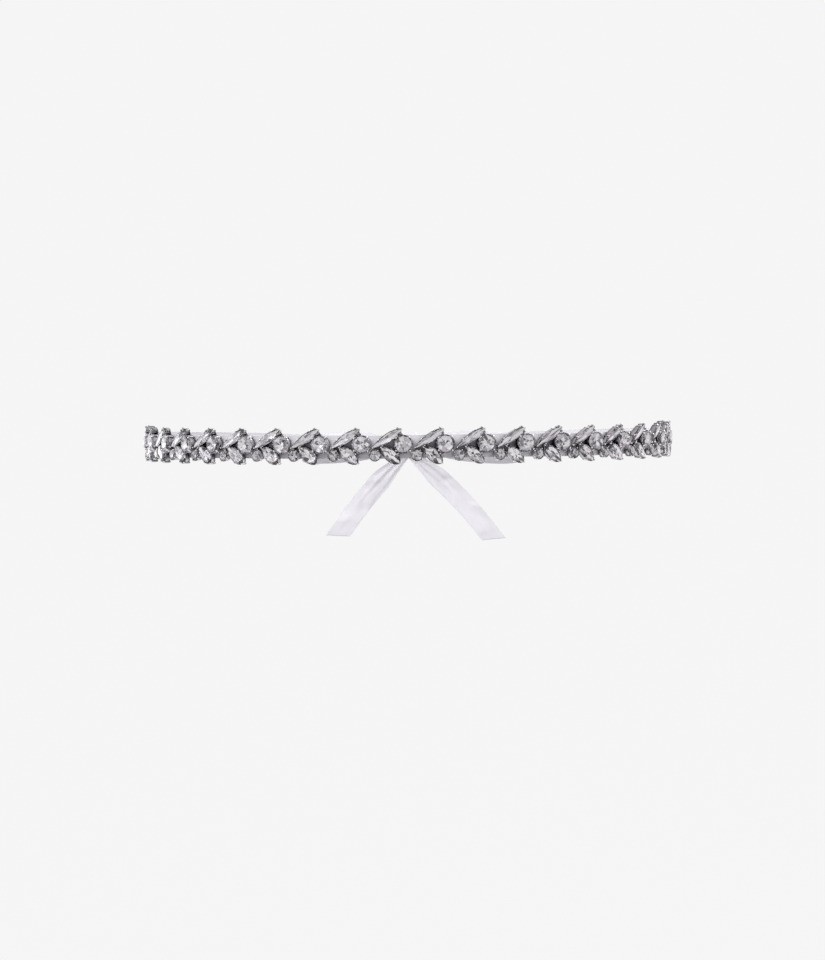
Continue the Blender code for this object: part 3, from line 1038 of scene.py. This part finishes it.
# Stitches that hold each motif, seen on the ribbon's inner face

stitches = {
    "radius": 0.00013,
    "length": 0.0021,
    "rise": 0.00016,
    "sides": 6,
    "sections": 7,
    "along": (-0.0052, 0.0004, 0.0049),  # the three of a motif, from its middle
    "slants": (0.9, -0.2, -0.9),  # radians
    "astray": (0.0005, 0.0016, 0.5),  # how far along, up and aslant
    "depth": 1.1,  # of the inner face below the solid's outer face, in ribbon thicknesses
    "seed": 44,
}


def makeStitches():
    # tubes along half ellipses on the inner face, three to a motif, each a little askew
    random = np.random.default_rng(stitches["seed"])
    places = np.repeat(motifPlaces, 3) + np.tile(stitches["along"], trim["count"])
    astray = [random.uniform(-far, far, len(places)) for far in stitches["astray"]]
    places, ups = places + astray[0], astray[1]
    slants = astray[2] + np.tile(stitches["slants"], trim["count"])
    points, outward = waistAt(places)
    inside = points - outward * ribbon["thickness"] * stitches["depth"]
    along = np.cross(upward, outward)
    way = along * np.cos(slants)[:, None] + upward * np.sin(slants)[:, None]
    sideways = np.cross(outward, way)
    rows, columns = stitches["sections"], stitches["sides"]
    arc = np.linspace(0, pi, rows)[:, None]
    spread = -np.cos(arc) * stitches["length"] / 2 * way[:, None]
    rise = np.sin(arc) * stitches["rise"] * outward[:, None]
    path = (inside + upward * ups[:, None])[:, None] + spread - rise
    turn = roundTurns(columns)[:, None]
    ring = sideways[:, None, None] * np.cos(turn) - outward[:, None, None] * np.sin(turn)
    tubes = path[:, :, None] + stitches["radius"] * ring
    starts = (np.arange(len(places)) * rows * columns)[:, None, None]
    quads = (starts + gridFaces(rows, columns)[:, ::-1]).reshape(-1, 4)
    foot = np.arange(columns)[None]
    caps = [starts[:, 0] + foot, starts[:, 0] + foot[:, ::-1] + (rows - 1) * columns]
    uv = mapped(np.linspace(0, 6, rows)[:, None], np.linspace(0, 2, columns), tubes.shape[:3])
    piece = newPiece("sewing_stitches", tubes, [quads] + caps, [threadLook], uv=uv, uvName="twist")
    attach(piece, "root")


makeStitches()
print("stitches made")

# Studio: a pale floor that curves up into the wall of a light tent, soft lamps, and cards that only
# reflections see

studio = {
    "floor": -0.62,
    "floorColour": (0.02, 0.02, 0.02, 1.0),
    "floorGlow": 0.90,
    "hole": 0.02,  # radius at the floor's middle, closed by one face
    "tentRadius": 3.6,
    "curve": 1.4,  # radius between the floor and the wall
    "curveSteps": 25,
    "around": 96,
    "wallTop": 3.2,
    "world": (0.98, 0.95, 1.0, 1.0),
    "worldStrength": 0.60,
    "lamps": (
        # name, place, size, watts, colour, whether the metal and the satin mirror it
        ("key", (-1.1, -1.5, 1.5), 1.2, 36.0, (0.97, 0.985, 1.0), False),
        ("fill", (1.6, -1.2, 0.6), 1.3, 11.0, (1.0, 0.965, 0.99), False),
        ("back_key", (1.0, 1.6, 1.5), 1.0, 24.0, (1.0, 0.99, 1.0), True),
        ("back_fill", (-1.5, 1.3, 0.5), 1.2, 6.0, (0.98, 0.985, 1.0), True),
    ),
    "cards": (
        # name, place, width, height, glow, colour
        ("card_key", (-1.0, -1.3, 1.35), 1.3, 1.1, 1.25, (0.97, 0.975, 1.0)),
        ("card_fill", (1.5, -1.1, 0.9), 0.7, 0.7, 1.1, (1.0, 0.93, 0.98)),
        ("card_low", (0.0, -1.3, -0.52), 1.5, 0.36, 0.24, (1.0, 0.94, 1.0)),
        ("card_left", (-1.05, -1.05, 0.0), 0.45, 0.9, 0.42, (0.97, 0.95, 1.0)),
        ("card_right", (1.05, -1.1, 0.0), 0.45, 0.8, 0.28, (1.0, 0.92, 0.98)),
        ("card_side_left", (-2.1, 0.6, 0.4), 2.3, 1.8, 2.0, (0.97, 0.975, 1.0)),
        ("card_side_right", (2.2, 0.4, 0.4), 1.3, 1.3, 1.25, (1.0, 0.96, 0.985)),
    ),
}


def aim(thing, place):
    # its back is turned away from the origin
    back = unit(np.array(place))
    side = unit(np.cross(upward, back))
    matrix = np.eye(4)
    matrix[:3] = np.stack([side, np.cross(back, side), back, place], 1)
    thing.matrix_world = matrix.T.tolist()


def glowing(name, base, colour, strength, **others):
    values = {"Base Color": base, "Emission Color": (*colour, 1.0), "Emission Strength": strength}
    return newMaterial(name, **values, **{"Specular IOR Level": 0.0}, **others)[0]


def addFloor():
    # the floor, a quarter circle and the wall, as one profile turned round Z
    radius, curve = studio["tentRadius"], studio["curve"]
    turn = np.linspace(0, pi / 2, studio["curveSteps"])
    outward = np.concatenate([[studio["hole"]], radius - curve + curve * np.sin(turn), [radius]])
    level = np.concatenate([[0.0], curve - curve * np.cos(turn), [studio["wallTop"]]])
    around = roundTurns(studio["around"])
    circle = np.stack([np.cos(around), np.sin(around)], -1)
    heights = level + studio["floor"]
    points = np.concatenate([atHeight(out * circle, height) for out, height in zip(outward, heights)])
    look = glowing("floor", studio["floorColour"], (1.0, 1.0, 1.0), studio["floorGlow"], Roughness=0.9)
    middle = np.arange(len(around))[None]
    faces = [gridFaces(len(outward), len(around))[:, ::-1], middle]
    floor = newPiece("floor", points, faces, [look])
    floor.visible_diffuse = floor.visible_shadow = False  # the world and the lamps light the cloth


def addLamps():
    for name, place, size, watts, colour, mirrored in studio["lamps"]:
        lampData = bpy.data.lights.new(name, "AREA")
        lampData.size, lampData.energy, lampData.color = size, watts, colour
        lamp = newObject(name, lampData)
        lamp.visible_glossy, lamp.visible_transmission = mirrored, False
        aim(lamp, place)


def addCards():
    for name, place, width, height, glow, colour in studio["cards"]:
        look = glowing(name, (0.0, 0.0, 0.0, 1.0), colour, glow)
        corners = np.array([(-1, -1, 0), (1, -1, 0), (1, 1, 0), (-1, 1, 0)]) / 2 * (width, height, 1.0)
        card = newPiece(name, corners, [np.array([[0, 1, 2, 3]])], [look])
        aim(card, place)
        card.visible_camera = card.visible_diffuse = card.visible_shadow = False


def addWorld():
    # weaker than the tent's wall, so that the lamps model the cloth
    world = bpy.data.worlds.new("studio")
    world.use_nodes = True
    background = world.node_tree.nodes["Background"]
    background.inputs["Color"].default_value = studio["world"]
    background.inputs["Strength"].default_value = studio["worldStrength"]
    bpy.context.scene.world = world
    bpy.context.scene.view_settings.view_transform = "Standard"


addFloor()
addLamps()
addCards()
addWorld()
print("studio made")

bpy.context.view_layer.update()
